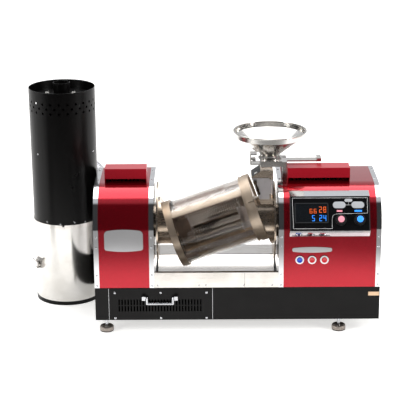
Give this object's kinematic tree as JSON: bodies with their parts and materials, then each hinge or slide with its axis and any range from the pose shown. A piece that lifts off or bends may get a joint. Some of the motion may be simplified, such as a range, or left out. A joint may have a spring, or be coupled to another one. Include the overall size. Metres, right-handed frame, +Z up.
{
  "type": "off-axis glass drum coffee roaster",
  "caption": "Electric coffee roaster with a tilted rotating glass drum between two red housings, a top hopper, and a tall chaff and smoke collector beside it",
  "frame": {"origin": "middle of the footprint of the whole part, on the surface that it stands on", "axes": "+X runs along the drum's turning axis from the collector to the control housing, +Y runs from the front to the back, +Z is up"},
  "size_m": [1.2575, 0.5501, 0.821],
  "materials": {
    "red_paint": "metallic candy red, gloss",
    "polished_steel": "polished stainless sheet",
    "spun_steel": "spun and polished stainless",
    "drum_steel": "plain stainless, warm tinted by heat",
    "black_sheet": "satin black powder coat",
    "black_gloss": "gloss black panel",
    "chrome_parts": "chromed",
    "drum_glass": "clear borosilicate tube",
    "screen_glass": "smoked display window",
    "aluminium_parts": "bare aluminium",
    "cast_parts": "grey machined casting",
    "black_plastic": "matt black",
    "blue_plastic": "blue button cap",
    "red_plastic": "red button cap",
    "belt_rubber": "moulded black rubber",
    "dark_steel": "dark heat-stained steel"
  },
  "bodies": {
    "machine": {"base_shell": "black_sheet", "levelling_feet": "aluminium_parts", "louvre_panel": "black_sheet", "trim_screws": "polished_steel", "front_panel": "polished_steel", "bay_tray": "polished_steel", "left_shell": "red_paint", "right_shell": "red_paint", "left_outer_frame": "polished_steel", "left_inner_frame": "polished_steel", "right_inner_frame": "polished_steel", "right_outer_frame": "polished_steel", "vent_hoods": "red_paint", "console": "chrome_parts", "control_panel": "black_gloss", "display_window": "screen_glass", "button_bezels": "chrome_parts", "face_plates": "polished_steel", "hopper": "spun_steel", "hopper_bracket": "polished_steel", "hopper_clamps": "polished_steel", "collector_pot": "spun_steel", "collector_base": "black_sheet", "collector_tube": "black_sheet", "collector_deck": "black_sheet", "collector_band": "polished_steel", "chaff_filter": "polished_steel", "collector_inlet": "polished_steel", "flex_duct": "aluminium_parts", "exhaust_outlet": "polished_steel", "latch_base": "polished_steel", "handle_posts": "aluminium_parts", "drum_bearings": "cast_parts", "gearmotor": "cast_parts", "drive_belt": "belt_rubber", "heater_rods": "dark_steel", "fan_casing": "cast_parts", "cable_gland": "black_plastic"},
    "drum": {"glass_drum": "drum_glass", "drum_ring_left": "drum_steel", "drum_ring_right": "drum_steel", "elbow_left": "drum_steel", "elbow_right": "drum_steel", "screen_plate": "drum_steel", "paddle_comb": "dark_steel", "lifting_bars": "polished_steel", "drum_pulley": "aluminium_parts"},
    "spout_door": {"drum_door": "polished_steel"},
    "door_lever": {"door_latch": "dark_steel"},
    "flap": {"inlet_flap": "drum_steel"},
    "drive": {"motor_pulley": "aluminium_parts"},
    "impeller": {"fan_impeller": "aluminium_parts"},
    "gate": {"slide_gate": "polished_steel"},
    "knob_red": {"red_knob": "black_plastic"},
    "knob_blue": {"blue_knob": "black_plastic"},
    "button_blue": {"left_button": "blue_plastic"},
    "button_red_1": {"middle_button": "red_plastic"},
    "button_red_2": {"right_button": "red_plastic"},
    "handle": {"bail_handle": "aluminium_parts"},
    "pot_latch": {"latch_lever": "polished_steel"}
  },
  "joints": [
    {"name": "drum_spin", "type": "hinge", "parent": "machine", "child": "drum", "pos_m": [0.05825, -0.0202, 0.347], "axis": [1, 0, 0], "continuous": true},
    {"name": "drive_spin", "type": "hinge", "parent": "machine", "child": "drive", "pos_m": [0.33275, -0.1322, 0.251], "axis": [1, 0, 0], "continuous": true},
    {"name": "door_hinge", "type": "hinge", "parent": "drum", "child": "spout_door", "pos_m": [0.25775, -0.0695, 0.48], "axis": [0, 0, 1], "range_deg": [0, 60]},
    {"name": "lever_turn", "type": "hinge", "parent": "spout_door", "child": "door_lever", "pos_m": [0.20772, -0.0722, 0.475], "axis": [0, 1, 0], "range_deg": [0, 30]},
    {"name": "flap_hinge", "type": "hinge", "parent": "drum", "child": "flap", "pos_m": [0.25675, -0.0202, 0.537], "axis": [0, 1, 0], "range_deg": [-60, 0], "stiffness_Nm_per_rad": 0.02},
    {"name": "fan_spin", "type": "hinge", "parent": "machine", "child": "impeller", "pos_m": [0.49575, -0.0202, 0.347], "axis": [1, 0, 0], "continuous": true},
    {"name": "gate_slide", "type": "slide", "parent": "machine", "child": "gate", "axis": [1, 0, 0], "range_m": [0, 0.046]},
    {"name": "red_knob_turn", "type": "hinge", "parent": "machine", "child": "knob_red", "pos_m": [0.48675, -0.25164, 0.42125], "axis": [0, -0.8878, 0.4603], "range_deg": [-150, 150]},
    {"name": "blue_knob_turn", "type": "hinge", "parent": "machine", "child": "knob_blue", "pos_m": [0.55175, -0.25164, 0.42125], "axis": [0, -0.8878, 0.4603], "range_deg": [-150, 150]},
    {"name": "button_blue_press", "type": "slide", "parent": "machine", "child": "button_blue", "axis": [0, 1, 0], "range_m": [0, 0.003], "stiffness_N_per_m": 400},
    {"name": "button_red_1_press", "type": "slide", "parent": "machine", "child": "button_red_1", "axis": [0, 1, 0], "range_m": [0, 0.003], "stiffness_N_per_m": 400},
    {"name": "button_red_2_press", "type": "slide", "parent": "machine", "child": "button_red_2", "axis": [0, 1, 0], "range_m": [0, 0.003], "stiffness_N_per_m": 400},
    {"name": "handle_fold", "type": "hinge", "parent": "machine", "child": "handle", "pos_m": [-0.13975, -0.2572, 0.139], "axis": [1, 0, 0], "range_deg": [-90, 0]},
    {"name": "pot_latch_turn", "type": "hinge", "parent": "machine", "child": "pot_latch", "pos_m": [-0.60327, 0.05896, 0.152], "axis": [0, 0, 1], "range_deg": [0, 90]}
  ],
  "couplings": [
    {"joint": "drive_spin", "follows": "drum_spin", "ratio": 3.2308}
  ]
}
